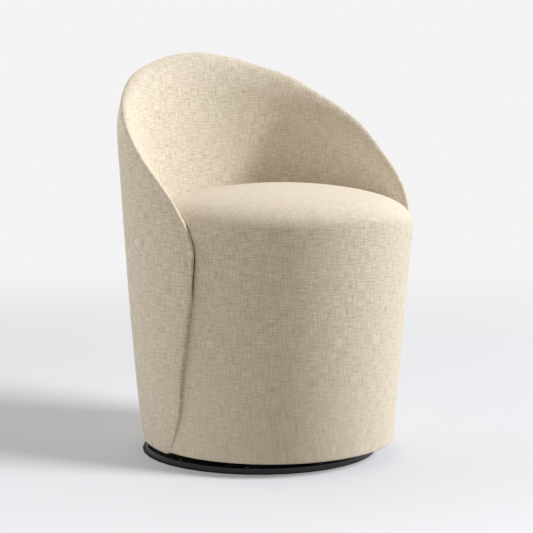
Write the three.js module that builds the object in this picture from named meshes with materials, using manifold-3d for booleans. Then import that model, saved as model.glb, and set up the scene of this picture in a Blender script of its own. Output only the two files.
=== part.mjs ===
// Swivel barrel chair, in millimetres. The swivel axis is the Z axis, the floor is Z = 0 and the
// front of the seat faces -Y. Angles round the body are measured from the middle of the back.
import * as THREE from 'three';
import { mergeVertices } from 'three/addons/utils/BufferGeometryUtils.js';
import Module from 'manifold-3d';

const wasm = await Module();
wasm.setup();

// Heights of the upholstered body above the floor
const hemHeight = 30;
const seatHeight = 477.4;
const backHeight = 770;

// Barrel: half sizes of its outer ring at floor level, half way up and at the top of the back
const barrelHalfWidthLow = 234;
const barrelHalfWidthMiddle = 274;
const barrelHalfWidthTop = 276;
const barrelHalfDepthLow = 270.5;
const barrelHalfDepthMiddle = 290;
const barrelHalfDepthTop = 268.5;
const barrelSetForwardLow = 43.3;
const barrelSetForwardTop = 30.5;

// Drum: how far its sides stand proud of the barrel at floor level and lie inside it at seat height,
// and its half depths at both
const drumSideProudLow = 2.5;
const drumSideInsetTop = 4.9;
const drumHalfDepthLow = 235.3;
const drumHalfDepthTop = 269.7;
const drumSetForward = 41.6;

// Seam between barrel and drum, which runs on as the crease of the rim, from floor to top of back
const seamAngles = [88, 93.5, 101.6, 105.7, 110.3, 113.9, 115, 105.6, 89.2, 73.4, 55.5, 35.9, 0];
const seamHeightShares = [0, 0.0425, 0.133, 0.242, 0.354, 0.462, 0.555, 0.657, 0.745, 0.826, 0.895,
  0.954, 1];

// Seat: how it crowns, rolls over its edge and pitches back
const crownRise = 43;
const shoulderDrop = 45;
const seatPitchShare = 0.043;
const shoulderPower = 8;
const shoulderRoundPower = 0.45;
const crownShares = [1, 0.98, 0.93, 0.82, 0.6, 0.25];
const seatFoamDepth = 65.4;

// Back wall: whole thickness at the middle of the back and where it dies out at the front
const rearWallThickness = 42;
const tipWallThickness = 12;
const wallTaperPower = 1.5;
const rimRollShare = 1.5;

// Lean of the back: from a height down the wall thickens towards the seat, most in the middle
const leanTop = 755;
const leanEase = 40;
const leanSlopeShare = 0.15;
const leanTaperPower = 5;

// Layers under the covers
const coverThickness = 2;
const layerGap = 0.3;
const cushionGap = 0.7;
const backPaddingThickness = 2.7;
const backPaddingEdgeInset = 6;
const shellPlyThickness = 6;
const shellPlyEdgeInset = 13;
const drumPaddingThickness = 10;
const drumPanelThickness = 4;

// Frame
const seatBoardThickness = 15;
const bottomBoardThickness = 18;
const boardRecess = 1.2;
const boardEdgeInset = 17;
const boardCentreHoleRadius = 22;
const postWidth = 38;
const frontPostSpread = 280;
const frontPostReach = 160;
const rearPostSpread = 260;
const rearPostReach = 110;
const dustClothThickness = 0.7;
const dustClothHoleMargin = 5;

// Base
const padThickness = 2;
const padMargin = 3;
const discRadius = 231.4;
const discThickness = 10;
const discChamfer = 1.2;
const rimScrewCount = 10;
const rimScrewInset = 9;
const rimScrewTurn = -4;
const rimScrewHeadRadius = 5;
const rimScrewHeadHeight = 3.5;
const rimScrewShankRadius = 2.3;
const rimScrewDepth = 7;

// Swivel bearing
const bearingRadius = 125;
const flangeThickness = 3;
const raceRadius = 100;
const ridgeHalfWidth = 11;
const ballRadius = 5;
const ballCount = 12;
const raceClearance = 0.45;
const cageThickness = 3;
const cageHalfWidth = 10;
const cageClearance = 1.5;
const plateScrewCount = 4;
const plateScrewCircleRadius = 118;
const plateScrewHeadRadius = 5.5;
const plateScrewHeadHeight = 2.8;
const plateScrewShankRadius = 2.5;
const lowerScrewDepth = 7;
const upperScrewDepth = 14;

// Pivot through the middle of the bearing
const pivotRadius = 6;
const pivotHeadRadius = 11;
const pivotHeadHeight = 4.7;
const pivotOvershoot = 2;
const bushWall = 1.9;
const washerRadius = 14;
const washerThickness = 2;
const nutRadius = 11;
const nutHeight = 8;

// Screws that hold the bent back to the two boards
const backScrewColumns = 4;
const backScrewHeadRadius = 4;
const backScrewHeadHeight = 2;
const backScrewSink = 1.8;
const backScrewShankRadius = 2;
const backScrewLength = 28;

// Fits, overruns and fineness
const fitGap = 0.3;
const overrun = 5;
const envelopeReachShare = 0.6;
const wallReach = 100;
const weldDistance = 0.0005;
const ringSteps = 36;
const ringLevels = 5;
const seamSteps = 24;
const rollFirstStep = 9;
const envelopeColumns = 14;
const rollSteps = 3;
const turnedSteps = 36;
const hexSides = 6;
const screwSides = 8;
const pivotSides = 16;
const ballBands = 4;

// Heights that follow from the sizes above
const discBottom = padThickness + fitGap;
const discTop = discBottom + discThickness;
const lowerPlateBottom = discTop + fitGap;
const lowerFlangeTop = lowerPlateBottom + flangeThickness;
const boardBottom = hemHeight + boardRecess;
const upperPlateTop = boardBottom - fitGap;
const upperFlangeBottom = upperPlateTop - flangeThickness;
const bottomBoardTop = boardBottom + bottomBoardThickness;
const seatBoardTop = seatHeight - seatFoamDepth;
const seatBoardBottom = seatBoardTop - seatBoardThickness;
const cushionBottom = seatBoardTop + layerGap;
const ballHeight = (lowerPlateBottom + upperPlateTop) / 2;

// Depths of the layers, measured inwards from the faces of the barrel and of the drum
const backPaddingDepth = coverThickness + layerGap;
const shellPlyDepth = backPaddingDepth + backPaddingThickness + layerGap;
const shellPlyInnerDepth = shellPlyDepth + shellPlyThickness;
const drumPaddingDepth = coverThickness + layerGap;
const drumPanelDepth = drumPaddingDepth + drumPaddingThickness + layerGap;
const drumPanelInnerDepth = drumPanelDepth + drumPanelThickness;

// The drum's half widths follow the barrel's
const drumHalfWidthLow = barrelHalfWidthLow + drumSideProudLow;
const drumHalfWidthTop = throughThree(barrelHalfWidthLow, barrelHalfWidthMiddle, barrelHalfWidthTop,
  seatHeight / backHeight) - drumSideInsetTop;

const fullTurn = 2 * Math.PI;
const quarterTurn = Math.PI / 2;
const meanBarrelRadius = (barrelHalfWidthMiddle + barrelHalfDepthMiddle) / 2;
const envelopeReach = envelopeReachShare * barrelHalfWidthMiddle;

// A finish for each kind of material
function finish(color, roughness, metalness = 0) {
  return new THREE.MeshStandardMaterial({ color, roughness, metalness });
}
const linen = finish(0xd9cdb4, 0.9);
const foam = finish(0xe9dfb8, 0.95);
const wadding = finish(0xf1efe8, 1);
const birchPly = finish(0xcfae7c, 0.7);
const pine = finish(0xd8b98a, 0.75);
const blackCloth = finish(0x1c1c1c, 0.95);
const blackSteel = finish(0x1b1b1d, 0.45, 0.6);
const zincSteel = finish(0xb8bcc0, 0.4, 0.9);
const ballSteel = finish(0xd5d8dc, 0.15, 1);
const nylon = finish(0xe6e4dc, 0.5);
const rubber = finish(0x222222, 0.9);

// Solids from three.js shapes, and back

function solid(geometry) {
  const bare = new THREE.BufferGeometry();
  bare.setAttribute('position', geometry.getAttribute('position'));
  bare.setIndex(geometry.getIndex());
  const merged = mergeVertices(bare, weldDistance);
  const corners = merged.getIndex().array;
  const triVerts = [];
  for (let i = 0; i < corners.length; i += 3) {
    const [a, b, c] = corners.slice(i, i + 3);
    if (a !== b && b !== c && c !== a) triVerts.push(a, b, c);
  }
  const vertProperties = merged.getAttribute('position').array;
  const mesh = new wasm.Mesh({ numProp: 3, vertProperties, triVerts: new Uint32Array(triVerts) });
  return new wasm.Manifold(mesh);
}

function piece(name, shape, material) {
  const { vertProperties, triVerts } = shape.getMesh();
  const geometry = new THREE.BufferGeometry();
  geometry.setAttribute('position', new THREE.BufferAttribute(vertProperties, 3));
  geometry.setIndex(new THREE.BufferAttribute(triVerts, 1));
  geometry.computeVertexNormals();
  const mesh = new THREE.Mesh(geometry, material);
  mesh.name = name;
  return mesh;
}

// A stack of closed rings of points, each star shaped as seen from its first point, with both
// ends capped
function loft(rings) {
  const count = rings[0].length;
  const points = rings.flat();
  const faces = [];
  for (let row = 0; row + 1 < rings.length; row += 1) {
    for (let i = 0; i < count; i += 1) {
      const a = row * count + i;
      const b = row * count + (i + 1) % count;
      faces.push(a, b, b + count, a, b + count, a + count);
    }
  }
  const last = (rings.length - 1) * count;
  for (let i = 1; i + 1 < count; i += 1) {
    faces.push(0, i + 1, i, last, last + i, last + i + 1);
  }
  const geometry = new THREE.BufferGeometry().setFromPoints(points);
  geometry.setIndex(faces);
  return solid(geometry);
}

// The solid through a list of layers, each a grid of points with the same rows and columns
function band(layers) {
  const rows = layers[0].length;
  const columns = layers[0][0].length;
  const size = rows * columns;
  const inner = (layers.length - 1) * size;
  const top = (rows - 1) * columns;
  const faces = [];
  const quad = (a, b, c, d) => faces.push(a, b, c, a, c, d);
  for (let row = 0; row + 1 < rows; row += 1) {
    for (let column = 0; column + 1 < columns; column += 1) {
      const a = row * columns + column;
      quad(a, a + 1, a + 1 + columns, a + columns);
      quad(inner + a, inner + a + columns, inner + a + 1 + columns, inner + a + 1);
    }
  }
  for (let near = 0; near < inner; near += size) {
    const far = near + size;
    for (let first = 0; first < top; first += columns) {
      const final = first + columns - 1;
      quad(near + first, near + first + columns, far + first + columns, far + first);
      quad(near + final, far + final, far + final + columns, near + final + columns);
    }
    for (let a = 0; a + 1 < columns; a += 1) {
      const b = top + a;
      quad(near + a, far + a, far + a + 1, near + a + 1);
      quad(near + b, near + b + 1, far + b + 1, far + b);
    }
  }
  const geometry = new THREE.BufferGeometry().setFromPoints(layers.flat(2));
  geometry.setIndex(faces);
  return solid(geometry);
}

// An upright round or many-sided bar between two heights
function bar(radius, bottom, top, sides, x = 0, y = 0) {
  const shape = new THREE.CylinderGeometry(radius, radius, top - bottom, sides);
  shape.rotateX(quarterTurn);
  shape.translate(x, y, (bottom + top) / 2);
  return solid(shape);
}

function box(width, depth, bottom, top, x = 0, y = 0) {
  const shape = new THREE.BoxGeometry(width, depth, top - bottom);
  shape.translate(x, y, (bottom + top) / 2);
  return solid(shape);
}

// A turned piece, from a closed outline of radius and height
function turned(outline) {
  const points = outline.map(([radius, height]) => new THREE.Vector2(radius, height));
  if (THREE.ShapeUtils.isClockWise(points)) points.reverse();
  points.push(points[0].clone());
  const shape = new THREE.LatheGeometry(points, turnedSteps);
  shape.rotateX(quarterTurn);
  return solid(shape);
}

// Everything above or below a height, as a box wider than the chair
const bodyWidth = 4 * meanBarrelRadius;
const above = (height) => box(bodyWidth, bodyWidth, height, 2 * backHeight);
const below = (height) => box(bodyWidth, bodyWidth, -backHeight, height);

// Points all round the body, one for each step of angle
function ringOf(pointAt) {
  return Array.from({ length: ringSteps }, (_, step) => pointAt(-step * fullTurn / ringSteps));
}

// Barrel surface

function throughThree(low, middle, top, share) {
  return low * (1 - share) * (1 - 2 * share) + 4 * middle * share * (1 - share)
    + top * share * (2 * share - 1);
}

function barrelPoint(angle, height, depth) {
  const share = height / backHeight;
  const halfWidth = throughThree(barrelHalfWidthLow, barrelHalfWidthMiddle, barrelHalfWidthTop, share);
  const halfDepth = throughThree(barrelHalfDepthLow, barrelHalfDepthMiddle, barrelHalfDepthTop, share);
  const forward = barrelSetForwardLow + (barrelSetForwardTop - barrelSetForwardLow) * share;
  const x = (halfWidth - depth) * Math.sin(angle);
  const y = (halfDepth - depth) * Math.cos(angle) - forward;
  return new THREE.Vector3(x, y, height);
}

function wallThickness(angle, height) {
  const rearShare = (1 + Math.cos(angle)) / 2;
  const drop = Math.max(leanTop - height, 0);
  const easedDrop = drop < leanEase ? drop ** 2 / leanEase / 2 : drop - leanEase / 2;
  return tipWallThickness + (rearWallThickness - tipWallThickness) * rearShare ** wallTaperPower
    + leanSlopeShare * easedDrop * rearShare ** leanTaperPower;
}

// A closed barrel from a bottom height to above the back, its face sunk by a depth that may
// change with the angle and the height
function barrel(bottom, depthAt) {
  const rings = [];
  for (let level = 0; level <= ringLevels; level += 1) {
    const height = (backHeight + overrun) * level / ringLevels;
    rings.push(ringOf((angle) => barrelPoint(angle, height, depthAt(angle, height))));
  }
  return loft(rings).intersect(above(bottom));
}

// A point on the facets of a barrel, which run straight from level to level
function betweenLevels(angle, height, depth) {
  const levelStep = (backHeight + overrun) / ringLevels;
  const level = Math.floor(height / levelStep);
  const low = barrelPoint(angle, level * levelStep, depth);
  const high = barrelPoint(angle, (level + 1) * levelStep, depth);
  return low.lerp(high, height / levelStep - level);
}

// The seam laid out flat, as arc length and height, up one side and down the other
const seamPoints = seamAngles.map((degrees, i) => new THREE.Vector2(
  THREE.MathUtils.degToRad(degrees) * meanBarrelRadius, seamHeightShares[i] * backHeight));
const mirroredPoints = seamPoints.slice(0, -1).reverse().map((p) => new THREE.Vector2(-p.x, p.y));
const seamCurve = new THREE.SplineCurve([...seamPoints, ...mirroredPoints]);

// A point of the seam with the way across it towards the wall, both in the flat layout
function seamAt(share) {
  const point = seamCurve.getPoint(share);
  const along = seamCurve.getTangent(share);
  return { point, inwards: new THREE.Vector2(-along.y, along.x) };
}

function seamOffset(share, distance) {
  const { point, inwards } = seamAt(share);
  const moved = point.clone().addScaledVector(inwards, distance);
  return { angle: moved.x / meanBarrelRadius, height: moved.y };
}

// All the space behind the seam, grown past it by a margin, from well outside the barrel inwards
function envelope(grow) {
  const layers = [-envelopeReach / 2, -2 * overrun, wallReach, envelopeReach].map((depth) => {
    const rows = [];
    for (let step = 0; step <= seamSteps; step += 1) {
      const edge = seamOffset(step / seamSteps / 2, -grow);
      const widest = step === seamSteps ? 0 : edge.angle;
      rows.push(Array.from({ length: envelopeColumns + 1 }, (_, column) => barrelPoint(
        widest * (1 - 2 * column / envelopeColumns), edge.height, depth)));
    }
    return rows;
  });
  return band(layers);
}

// What the rounded rim takes off the inner top edge of the wall, with the rounding sunk by an inset.
// The rounding is an ellipse whose lower end is drawn out, so that it runs into the wall.
function rimRoll(inset) {
  const rings = [];
  for (let step = rollFirstStep; step <= 2 * seamSteps - rollFirstStep; step += 1) {
    const share = step / seamSteps / 2;
    const seam = seamOffset(share, 0);
    const rollFoot = seamOffset(share, wallThickness(seam.angle, seam.height) * rimRollShare);
    const wall = wallThickness(rollFoot.angle, rollFoot.height);
    const roll = wall * rimRollShare;
    const at = (distance, depth) => {
      const { angle, height } = seamOffset(share, distance);
      return barrelPoint(angle, height, depth);
    };
    const ring = [at(-overrun, wall + overrun), at(-overrun, 0)];
    for (let i = 0; i <= rollSteps; i += 1) {
      const turn = quarterTurn * i / rollSteps;
      const distance = inset + roll * (1 - Math.cos(turn));
      ring.push(at(distance, (wall - inset) * Math.sqrt(1 - Math.cos(turn) ** 3)));
    }
    ring.push(at(inset + roll, wall + overrun));
    rings.push(ring);
  }
  return loft(rings);
}

// A layer of the barrel between two depths, held back from the seam by an inset
function barrelLayer(bottom, outerDepth, innerDepth, inset) {
  const outer = barrel(bottom, () => outerDepth);
  const inner = barrel(bottom - overrun, () => innerDepth);
  return outer.subtract(inner).intersect(envelope(-inset));
}

// The whole wall above a bottom height, from a depth under its outer face to its inner face, which
// sinks by an inset
function wall(bottom, outerDepth, inset) {
  const outer = barrel(bottom, () => outerDepth);
  const inner = barrel(bottom - overrun, (angle, height) => wallThickness(angle, height) - inset);
  return outer.subtract(inner).intersect(envelope(-inset)).subtract(rimRoll(inset));
}

// Drum and seat surface

function drumPoint(angle, height, depth) {
  const share = height / seatHeight;
  const halfWidth = drumHalfWidthLow + (drumHalfWidthTop - drumHalfWidthLow) * share;
  const halfDepth = drumHalfDepthLow + (drumHalfDepthTop - drumHalfDepthLow) * share;
  const x = (halfWidth - depth) * Math.sin(angle);
  const y = (halfDepth - depth) * Math.cos(angle) - drumSetForward;
  return new THREE.Vector3(x, y, height);
}

function drum(bottom, top, depth) {
  return loft([bottom, top].map((height) => ringOf((angle) => drumPoint(angle, height, depth))));
}

// The drum with the seat's rounded edge and crown on it, all sunk by a depth
function crownedDrum(bottom, depth) {
  const edge = ringOf((angle) => {
    const edgeHeight = seatHeight - shoulderDrop - seatPitchShare * drumHalfDepthTop * Math.cos(angle);
    return drumPoint(angle, edgeHeight - depth, depth);
  });
  const rings = [ringOf((angle) => drumPoint(angle, bottom, depth))];
  for (const share of crownShares) {
    const crown = crownRise * (1 - share ** 2);
    const shoulder = shoulderDrop * (1 - share ** shoulderPower) ** shoulderRoundPower;
    rings.push(edge.map((point) => {
      const x = point.x * share;
      const y = (point.y + drumSetForward) * share - drumSetForward;
      const level = seatHeight - shoulderDrop - depth;
      const height = level + (point.z - level) * share + crown + shoulder;
      return new THREE.Vector3(x, y, height);
    }));
  }
  return loft(rings);
}

// Upholstered seat and front. Under the cushion nothing of the drum reaches behind the seam.

const behindSeam = envelope(layerGap).intersect(below(cushionBottom));

function seatCover() {
  const outside = crownedDrum(hemHeight, 0).subtract(wall(cushionBottom, -envelopeReach / 3, -cushionGap));
  const inside = crownedDrum(hemHeight - overrun, coverThickness)
    .subtract(wall(cushionBottom - coverThickness, -envelopeReach / 3, -coverThickness - cushionGap));
  return outside.subtract(inside).subtract(behindSeam);
}

function seatFoam() {
  const sunk = coverThickness + cushionGap;
  const back = wall(cushionBottom - overrun, -envelopeReach / 3, -sunk - cushionGap);
  return crownedDrum(cushionBottom, sunk).subtract(back);
}

function drumLayer(outerDepth, innerDepth) {
  const top = cushionBottom - coverThickness - layerGap;
  const outer = drum(hemHeight + layerGap, top, outerDepth);
  return outer.subtract(drum(hemHeight - overrun, top + overrun, innerDepth)).subtract(behindSeam);
}

// Upholstered back

// The back's outer cover turns in round the front edge of the shell, under the cushion
function outerBackCover() {
  const skin = barrelLayer(hemHeight, 0, coverThickness, 0);
  const turnIn = barrelLayer(hemHeight, coverThickness / 2, shellPlyInnerDepth, 0)
    .subtract(envelope(-coverThickness)).intersect(below(cushionBottom - layerGap));
  return skin.add(turnIn);
}

const plyEnvelope = barrelLayer(boardBottom, shellPlyDepth - layerGap, shellPlyInnerDepth + layerGap,
  shellPlyEdgeInset - layerGap);

function innerBackCover() {
  const depth = coverThickness + layerGap;
  return wall(cushionBottom, depth, 0).subtract(wall(cushionBottom - overrun, 0, coverThickness));
}

function backFoam() {
  return wall(cushionBottom, shellPlyDepth, coverThickness + cushionGap).subtract(plyEnvelope);
}

// Boards of the frame, cut to the inside of the drum panel and of the bent back

function boardBlank(bottom, top) {
  const inside = barrel(bottom, () => shellPlyInnerDepth + layerGap).subtract(above(top));
  const front = drum(bottom, top, drumPanelInnerDepth + layerGap)
    .subtract(envelope(layerGap).subtract(inside));
  const rear = inside.intersect(envelope(-boardEdgeInset));
  return front.add(rear);
}

const polar = (radius, turn) => [radius * Math.sin(turn), -radius * Math.cos(turn)];

const plateScrewPlaces = Array.from({ length: plateScrewCount },
  (_, i) => polar(plateScrewCircleRadius, (i + 1 / 2) * fullTurn / plateScrewCount));
const rimScrewPlaces = Array.from({ length: rimScrewCount },
  (_, i) => polar(discRadius - rimScrewInset,
    THREE.MathUtils.degToRad(rimScrewTurn) + i * fullTurn / rimScrewCount));

// Bars at a list of places, as cuts
function holes(places, radius, bottom, top) {
  return places.map(([x, y]) => bar(radius, bottom, top, screwSides, x, y));
}
const cut = (shape, cuts) => cuts.reduce((left, tool) => left.subtract(tool), shape);

// The bore round the pivot bolt: the flats of its sides keep the gap, so that either can turn
function pivotBore(bottom, top) {
  return bar((pivotRadius + fitGap) / Math.cos(Math.PI / pivotSides), bottom, top, pivotSides);
}

// A screw through the bent back into a board's edge, or the hole for it when it is grown by a gap
const backScrewAngle = backScrewColumns * fullTurn / ringSteps;
function backScrew(side, height, gap) {
  const angle = side * backScrewAngle;
  const inwards = new THREE.Vector3(-Math.sin(angle), -Math.cos(angle), 0);
  const turn = new THREE.Quaternion().setFromUnitVectors(new THREE.Vector3(0, 1, 0), inwards);
  const start = shellPlyDepth + backScrewSink;
  const rod = (radius, from, to) => {
    const shape = new THREE.CylinderGeometry(radius + gap, radius + gap, to - from, screwSides);
    shape.applyQuaternion(turn);
    const middle = betweenLevels(angle, height, (from + to) / 2);
    shape.translate(middle.x, middle.y, middle.z);
    return solid(shape);
  };
  const headTop = gap > 0 ? start - overrun : start;
  const head = rod(backScrewHeadRadius, headTop, start + backScrewHeadHeight + gap);
  return head.add(rod(backScrewShankRadius, start, start + backScrewLength + gap));
}
const boardMiddles = {
  low: (boardBottom + bottomBoardTop) / 2,
  high: (seatBoardBottom + seatBoardTop) / 2,
};
const backScrewHoles = [boardMiddles.low, boardMiddles.high]
  .flatMap((height) => [-1, 1].map((side) => backScrew(side, height, fitGap)));

function backShell() {
  const shell = barrelLayer(boardBottom, shellPlyDepth, shellPlyInnerDepth, shellPlyEdgeInset);
  return cut(shell, backScrewHoles);
}

function bottomBoard() {
  const bottom = boardBottom - overrun;
  const top = bottomBoardTop + overrun;
  const screwTop = boardBottom + upperScrewDepth + fitGap;
  return cut(boardBlank(boardBottom, bottomBoardTop), [
    bar(boardCentreHoleRadius, bottom, top, 2 * screwSides),
    ...holes(plateScrewPlaces, plateScrewShankRadius + fitGap, bottom, screwTop),
    ...backScrewHoles,
  ]);
}

function dustCloth() {
  const top = boardBottom - layerGap;
  const cloth = boardBlank(top - dustClothThickness, top);
  const hole = bar(bearingRadius + dustClothHoleMargin, hemHeight - overrun, boardBottom, ringSteps);
  return cloth.subtract(hole);
}

// Bearing and base

// Half of a race plate's outline, written for the lower plate: its flange lies on the disc and its
// ridge carries the groove
function racePlate(flip, boreRadius) {
  const grooveRadius = ballRadius + raceClearance;
  const base = ballHeight - lowerPlateBottom;
  const ridge = cageThickness / 2 + cageClearance;
  const lip = Math.asin(ridge / grooveRadius);
  const outline = [
    [boreRadius, base], [bearingRadius, base], [bearingRadius, base - flangeThickness],
    [raceRadius + ridgeHalfWidth, base - flangeThickness],
    [raceRadius + ridgeHalfWidth, ridge],
  ];
  for (let i = 0; i <= rollSteps; i += 1) {
    const turn = lip + (Math.PI - 2 * lip) * i / rollSteps;
    outline.push([raceRadius + grooveRadius * Math.cos(turn), grooveRadius * Math.sin(turn)]);
  }
  outline.push([raceRadius - ridgeHalfWidth, ridge],
    [raceRadius - ridgeHalfWidth, base - flangeThickness], [boreRadius, base - flangeThickness]);
  return turned(outline.map(([radius, away]) => [radius, ballHeight - flip * away]));
}

function baseDisc() {
  const edge = discRadius - discChamfer;
  const disc = turned([
    [0, discBottom], [edge, discBottom], [discRadius, discBottom + discChamfer],
    [discRadius, discTop - discChamfer], [edge, discTop], [0, discTop],
  ]);
  const top = discTop + overrun;
  return cut(disc, [
    pivotBore(discBottom - overrun, top),
    bar(pivotHeadRadius + fitGap, discBottom - overrun, discBottom + pivotHeadHeight + fitGap,
      pivotSides),
    ...holes(rimScrewPlaces, rimScrewShankRadius + fitGap, discTop - rimScrewDepth - fitGap, top),
    ...holes(plateScrewPlaces, plateScrewShankRadius + fitGap,
      discTop - lowerScrewDepth - fitGap, top),
  ]);
}

function ballPlace(i) {
  return polar(raceRadius, i * fullTurn / ballCount);
}

function ballCage() {
  const half = cageThickness / 2;
  const ring = turned([
    [raceRadius - cageHalfWidth, ballHeight - half], [raceRadius + cageHalfWidth, ballHeight - half],
    [raceRadius + cageHalfWidth, ballHeight + half], [raceRadius - cageHalfWidth, ballHeight + half],
  ]);
  const pocket = (ballRadius + fitGap) / Math.cos(Math.PI / screwSides);
  const places = Array.from({ length: ballCount }, (_, i) => ballPlace(i));
  return cut(ring, holes(places, pocket, ballHeight - overrun, ballHeight + overrun));
}

function ball(i) {
  const [x, y] = ballPlace(i);
  const shape = new THREE.SphereGeometry(ballRadius, screwSides, ballBands);
  shape.rotateX(quarterTurn);
  shape.translate(x, y, ballHeight);
  return solid(shape);
}

// A plain headed screw: its head lies between two heights and its shank runs on to a third
function screw([x, y], headRadius, headFrom, headTo, shankRadius, shankTo) {
  const head = bar(headRadius, Math.min(headFrom, headTo), Math.max(headFrom, headTo), screwSides, x, y);
  const middle = (headFrom + headTo) / 2;
  const shank = bar(shankRadius, Math.min(middle, shankTo), Math.max(middle, shankTo), hexSides, x, y);
  return head.add(shank);
}

// Parts that stand still on the floor
function standing() {
  const group = new THREE.Group();
  const pad = bar(discRadius - padMargin, 0, padThickness, turnedSteps);
  group.add(piece('floor_pad', pad, rubber));
  group.add(piece('base_disc', baseDisc(), blackSteel));
  rimScrewPlaces.forEach((place, i) => {
    const headBottom = discTop + fitGap;
    const shape = screw(place, rimScrewHeadRadius, headBottom, headBottom + rimScrewHeadHeight,
      rimScrewShankRadius, discTop - rimScrewDepth);
    group.add(piece(`rim_screw_${i + 1}`, shape, blackSteel));
  });
  const lowerPlate = cut(racePlate(1, pivotRadius + fitGap), holes(plateScrewPlaces,
    plateScrewShankRadius + fitGap, lowerPlateBottom - overrun, lowerFlangeTop + overrun));
  group.add(piece('swivel_lower_plate', lowerPlate, zincSteel));
  plateScrewPlaces.forEach((place, i) => {
    const headBottom = lowerFlangeTop + fitGap;
    const shape = screw(place, plateScrewHeadRadius, headBottom, headBottom + plateScrewHeadHeight,
      plateScrewShankRadius, discTop - lowerScrewDepth);
    group.add(piece(`lower_plate_screw_${i + 1}`, shape, zincSteel));
  });
  const washerBottom = upperPlateTop + fitGap;
  const washerTop = washerBottom + washerThickness;
  const nutBottom = washerTop + fitGap;
  const nutTop = nutBottom + nutHeight;
  const head = bar(pivotHeadRadius, discBottom, discBottom + pivotHeadHeight, hexSides);
  const shank = bar(pivotRadius, discBottom, nutTop + pivotOvershoot, pivotSides);
  group.add(piece('pivot_bolt', head.add(shank), zincSteel));
  const bore = pivotBore(washerBottom - overrun, nutTop + overrun);
  const washer = bar(washerRadius, washerBottom, washerTop, pivotSides);
  group.add(piece('pivot_washer', washer.subtract(bore), zincSteel));
  const nut = bar(nutRadius, nutBottom, nutTop, hexSides);
  group.add(piece('pivot_nut', nut.subtract(bore), zincSteel));
  return group;
}

// Balls and the cage that spaces them, which turn at half the speed of the chair
function rolling() {
  const group = new THREE.Group();
  group.add(piece('ball_cage', ballCage(), nylon));
  for (let i = 0; i < ballCount; i += 1) {
    group.add(piece(`bearing_ball_${i + 1}`, ball(i), ballSteel));
  }
  return group;
}

// Upper half of the bearing and the frame
function turningFrame() {
  const group = new THREE.Group();
  const bushRadius = pivotRadius + fitGap + bushWall;
  const upperPlate = cut(racePlate(-1, bushRadius + fitGap), holes(plateScrewPlaces,
    plateScrewShankRadius + fitGap, upperFlangeBottom - overrun, boardBottom));
  group.add(piece('swivel_upper_plate', upperPlate, zincSteel));
  const bush = bar(bushRadius, upperFlangeBottom, upperPlateTop, pivotSides)
    .subtract(pivotBore(upperFlangeBottom - overrun, boardBottom));
  group.add(piece('pivot_bush', bush, nylon));
  plateScrewPlaces.forEach((place, i) => {
    const headTop = upperFlangeBottom - fitGap;
    const shape = screw(place, plateScrewHeadRadius, headTop, headTop - plateScrewHeadHeight,
      plateScrewShankRadius, boardBottom + upperScrewDepth);
    group.add(piece(`upper_plate_screw_${i + 1}`, shape, zincSteel));
  });
  group.add(piece('bottom_board', bottomBoard(), birchPly));
  group.add(piece('seat_board', cut(boardBlank(seatBoardBottom, seatBoardTop), backScrewHoles),
    birchPly));
  const postPlaces = [
    [-frontPostSpread / 2, -frontPostReach], [frontPostSpread / 2, -frontPostReach],
    [-rearPostSpread / 2, rearPostReach], [rearPostSpread / 2, rearPostReach],
  ];
  postPlaces.forEach(([x, y], i) => {
    const post = box(postWidth, postWidth, bottomBoardTop + fitGap, seatBoardBottom - fitGap, x, y);
    group.add(piece(`post_${i + 1}`, post, pine));
  });
  group.add(piece('drum_panel', drumLayer(drumPanelDepth, drumPanelInnerDepth), birchPly));
  group.add(piece('back_shell', backShell(), birchPly));
  const sides = [[-1, 'left'], [1, 'right']];
  for (const [level, height] of Object.entries(boardMiddles)) {
    for (const [side, word] of sides) {
      const shape = backScrew(side, height, 0);
      group.add(piece(`back_screw_${level}_${word}`, shape, zincSteel));
    }
  }
  return group;
}

// Foam, wadding and covers
function upholstery() {
  const group = new THREE.Group();
  const frontWadding = drumLayer(drumPaddingDepth, drumPaddingDepth + drumPaddingThickness);
  group.add(piece('front_wadding', frontWadding, wadding));
  group.add(piece('seat_foam', seatFoam(), foam));
  group.add(piece('seat_cover', seatCover(), linen));
  const backWadding = barrelLayer(hemHeight + layerGap, backPaddingDepth,
    backPaddingDepth + backPaddingThickness, backPaddingEdgeInset);
  group.add(piece('back_wadding', backWadding, wadding));
  group.add(piece('back_foam', backFoam(), foam));
  group.add(piece('inner_back_cover', innerBackCover(), linen));
  group.add(piece('outer_back_cover', outerBackCover(), linen));
  group.add(piece('dust_cloth', dustCloth(), blackCloth));
  return group;
}

const chair = new THREE.Group();
chair.name = 'swivel_barrel_chair';
chair.add(standing(), rolling(), turningFrame(), upholstery());

export default chair;
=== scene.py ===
# %% [markdown]
# A barrel chair is a tub of bent plywood and foam that turns on a round steel base. Almost all
# that shows of it is one cloth, a natural linen-look weave, in three covers: one round the outside
# of the tub, one down its padded inside, and one that runs over the seat, rolls over its front
# edge and goes down to the hem. The hard parts come from the CAD model, which is loaded here as a
# fixed frame. The covers are worked out again as fine surfaces, from the same sizes.

# %% Load the frame
import math

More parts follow.
